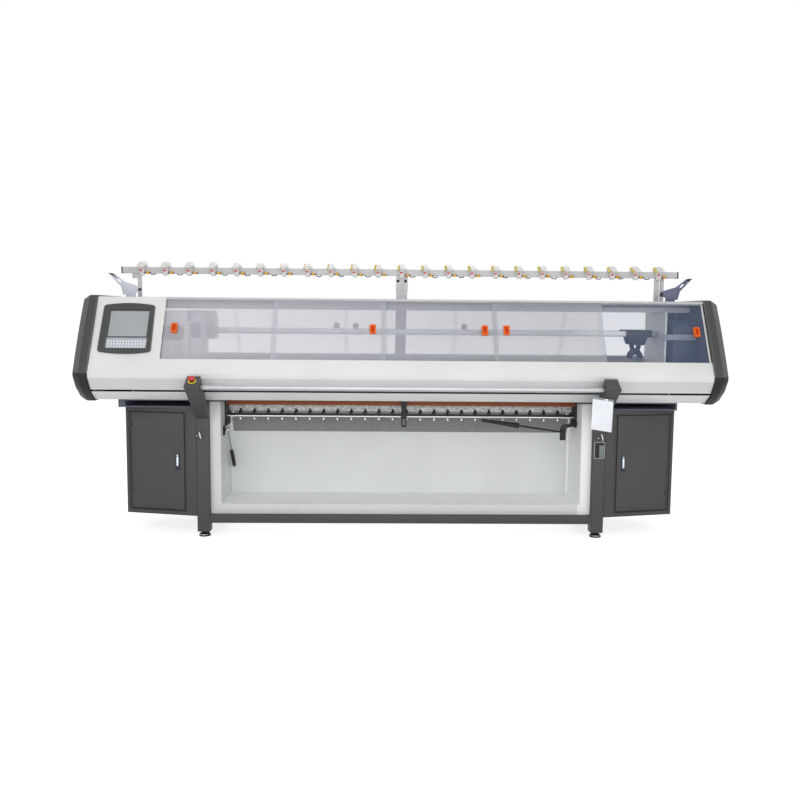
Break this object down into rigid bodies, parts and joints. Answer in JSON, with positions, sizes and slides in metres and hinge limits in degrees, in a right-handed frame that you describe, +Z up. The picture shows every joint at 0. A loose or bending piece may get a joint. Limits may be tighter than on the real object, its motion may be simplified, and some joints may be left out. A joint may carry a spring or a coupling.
{
  "type": "flat knitting machine",
  "caption": "Long flat knitting machine with sliding translucent windows, travelling carriage, yarn stop bar, control terminal, takedown over an open fabric bin and side cabinets.",
  "frame": {"origin": "on the floor under the middle of the outer size", "axes": "+X along the needle beds to the viewer's right, +Y to the rear, +Z up"},
  "size_m": [3.8, 1.1212, 1.666],
  "materials": {
    "dark_frame": "fine-textured dark grey powder coat",
    "black_steel": "satin black paint",
    "black_rubber": "matte black",
    "bright_steel": "polished",
    "yellow_plastic": "semi-gloss yellow",
    "red_plastic": "semi-gloss red",
    "chrome_trim": "polished",
    "black_plastic": "satin black",
    "clear_film": "clear film over paper",
    "pale_sheet": "smooth pale grey paint",
    "grey_plastic": "satin",
    "machined_steel": "ground",
    "cast_grey": "painted casting",
    "dark_housing": "satin blue-black",
    "dark_cap": "fine-textured dark grey",
    "white_panel": "smooth white paint",
    "satin_aluminium": "satin anodised",
    "screen_glass": "dull liquid crystal behind clear glass",
    "cream_plastic": "satin",
    "pale_roller": "matte pale grey",
    "orange_brown": "dull orange-brown",
    "lavender_sheet": "dull bluish grey",
    "milky_sheet": "translucent, with an orange pull"
  },
  "bodies": {
    "machine": {"legs": "dark_frame", "lower_frame": "dark_frame", "levelling_feet": "black_rubber", "console_arms": "dark_frame", "carriers": "black_steel", "stop_base": "yellow_plastic", "switch_frame": "chrome_trim", "switch_insert": "black_plastic", "document_pouch": "clear_film", "fabric_bin": "pale_sheet", "cabinets": "dark_frame", "control_racks": "grey_plastic", "needle_beds": "machined_steel", "bed_castings": "cast_grey", "guide_rails": "machined_steel", "end_frames": "pale_sheet", "drive_housings": "dark_housing", "end_caps": "dark_cap", "cover_panels": "white_panel", "cover_profiles": "satin_aluminium", "roof": "satin_aluminium", "terminal_bezel": "dark_cap", "terminal_screen": "screen_glass", "keypad": "grey_plastic", "takedown_brackets": "black_steel", "fabric_guide": "orange_brown", "yarn_bar": "satin_aluminium", "side_guides": "lavender_sheet", "bar_fittings": "black_plastic", "unit_housings": "white_panel", "unit_knobs": "yellow_plastic", "unit_discs": "bright_steel", "unit_lamps": "red_plastic"},
    "start_bar": {"start_bar": "bright_steel"},
    "stop_button": {"stop_button": "red_plastic"},
    "switch_rocker": {"switch_rocker": "black_plastic"},
    "cabinet_door_left": {"cabinet_door_left": "dark_frame"},
    "cabinet_door_right": {"cabinet_door_right": "dark_frame"},
    "latch_left": {"latch_left": "chrome_trim"},
    "latch_right": {"latch_right": "chrome_trim"},
    "carriage": {"carriage_covers": "cream_plastic", "carriage_frame": "dark_housing"},
    "yarn_carrier_front": {"yarn_carrier_front": "black_steel"},
    "yarn_carrier_rear": {"yarn_carrier_rear": "black_steel"},
    "takedown_roller": {"takedown_roller": "pale_roller"},
    "counter_roller": {"counter_roller": "pale_roller"},
    "presser": {"presser_rod": "bright_steel", "presser_hooks": "black_steel"},
    "lever_left": {"lever_left": "bright_steel"},
    "lever_right": {"lever_right": "bright_steel"},
    "front_window_1": {"front_window_1": "milky_sheet"},
    "rear_window_1": {"rear_window_1": "milky_sheet"},
    "front_window_2": {"front_window_2": "milky_sheet"},
    "rear_window_2": {"rear_window_2": "milky_sheet"},
    "front_window_3": {"front_window_3": "milky_sheet"},
    "rear_window_3": {"rear_window_3": "milky_sheet"},
    "front_window_4": {"front_window_4": "milky_sheet"},
    "rear_window_4": {"rear_window_4": "milky_sheet"},
    "front_window_5": {"front_window_5": "milky_sheet"},
    "rear_window_5": {"rear_window_5": "milky_sheet"}
  },
  "joints": [
    {"name": "carriage_travel", "type": "slide", "parent": "machine", "child": "carriage", "axis": [1, 0, 0], "range_m": [0, 2.76]},
    {"name": "yarn_carrier_front_travel", "type": "slide", "parent": "machine", "child": "yarn_carrier_front", "axis": [1, 0, 0], "range_m": [-2.7, 0]},
    {"name": "yarn_carrier_rear_travel", "type": "slide", "parent": "machine", "child": "yarn_carrier_rear", "axis": [1, 0, 0], "range_m": [-2.7, 0]},
    {"name": "front_window_1_slide", "type": "slide", "parent": "machine", "child": "front_window_1", "axis": [1, 0, 0], "range_m": [0, 0.54]},
    {"name": "front_window_2_slide", "type": "slide", "parent": "machine", "child": "front_window_2", "axis": [1, 0, 0], "range_m": [-0.54, 0]},
    {"name": "front_window_3_slide", "type": "slide", "parent": "machine", "child": "front_window_3", "axis": [1, 0, 0], "range_m": [-0.55, 0]},
    {"name": "front_window_4_slide", "type": "slide", "parent": "machine", "child": "front_window_4", "axis": [1, 0, 0], "range_m": [0, 0.52]},
    {"name": "front_window_5_slide", "type": "slide", "parent": "machine", "child": "front_window_5", "axis": [1, 0, 0], "range_m": [-0.52, 0]},
    {"name": "rear_window_1_slide", "type": "slide", "parent": "machine", "child": "rear_window_1", "axis": [1, 0, 0], "range_m": [0, 0.6]},
    {"name": "rear_window_2_slide", "type": "slide", "parent": "machine", "child": "rear_window_2", "axis": [1, 0, 0], "range_m": [-0.6, 0]},
    {"name": "rear_window_3_slide", "type": "slide", "parent": "machine", "child": "rear_window_3", "axis": [1, 0, 0], "range_m": [0, 0.6]},
    {"name": "rear_window_4_slide", "type": "slide", "parent": "machine", "child": "rear_window_4", "axis": [1, 0, 0], "range_m": [0, 0.6]},
    {"name": "rear_window_5_slide", "type": "slide", "parent": "machine", "child": "rear_window_5", "axis": [1, 0, 0], "range_m": [-0.6, 0]},
    {"name": "start_bar_turn", "type": "hinge", "parent": "machine", "child": "start_bar", "pos_m": [0, -0.4885, 0.926], "axis": [1, 0, 0], "range_deg": [-20, 20], "stiffness_Nm_per_rad": 4},
    {"name": "stop_button_press", "type": "slide", "parent": "machine", "child": "stop_button", "axis": [0, -0.4819, 0.8762], "range_m": [-0.004, 0], "stiffness_N_per_m": 400},
    {"name": "switch_rocker_tip", "type": "hinge", "parent": "machine", "child": "switch_rocker", "pos_m": [1.176, -0.25305, 0.532], "axis": [1, 0, 0], "range_deg": [-10, 0]},
    {"name": "cabinet_door_left_swing", "type": "hinge", "parent": "machine", "child": "cabinet_door_left", "pos_m": [-1.6368, -0.16155, 0.454], "axis": [0, 0, 1], "range_deg": [-110, 0]},
    {"name": "cabinet_door_right_swing", "type": "hinge", "parent": "machine", "child": "cabinet_door_right", "pos_m": [1.6368, -0.16155, 0.454], "axis": [0, 0, 1], "range_deg": [0, 110]},
    {"name": "latch_left_lift", "type": "hinge", "parent": "cabinet_door_left", "child": "latch_left", "pos_m": [-1.34565, -0.22016, 0.496], "axis": [0.9759, -0.2181, 0], "range_deg": [-30, 0]},
    {"name": "latch_right_lift", "type": "hinge", "parent": "cabinet_door_right", "child": "latch_right", "pos_m": [1.34565, -0.22016, 0.496], "axis": [0.9759, 0.2181, 0], "range_deg": [-30, 0]},
    {"name": "takedown_roller_spin", "type": "hinge", "parent": "machine", "child": "takedown_roller", "pos_m": [0, 0.0413, 0.766], "axis": [1, 0, 0], "continuous": true},
    {"name": "counter_roller_spin", "type": "hinge", "parent": "machine", "child": "counter_roller", "pos_m": [0, 0.1017, 0.766], "axis": [1, 0, 0], "continuous": true},
    {"name": "lever_left_pull", "type": "hinge", "parent": "machine", "child": "lever_left", "pos_m": [-1.062, -0.1185, 0.636], "axis": [1, 0, 0], "range_deg": [-90, 0]},
    {"name": "presser_tilt", "type": "hinge", "parent": "machine", "child": "presser", "pos_m": [0, -0.0565, 0.716], "axis": [1, 0, 0], "range_deg": [0, 30]},
    {"name": "lever_right_push", "type": "hinge", "parent": "machine", "child": "lever_right", "pos_m": [1, -0.1065, 0.63], "axis": [0, 1, 0], "range_deg": [-50, 0]}
  ],
  "couplings": [
    {"joint": "counter_roller_spin", "follows": "takedown_roller_spin", "ratio": -1},
    {"joint": "presser_tilt", "follows": "lever_left_pull", "ratio": -0.33333}
  ]
}
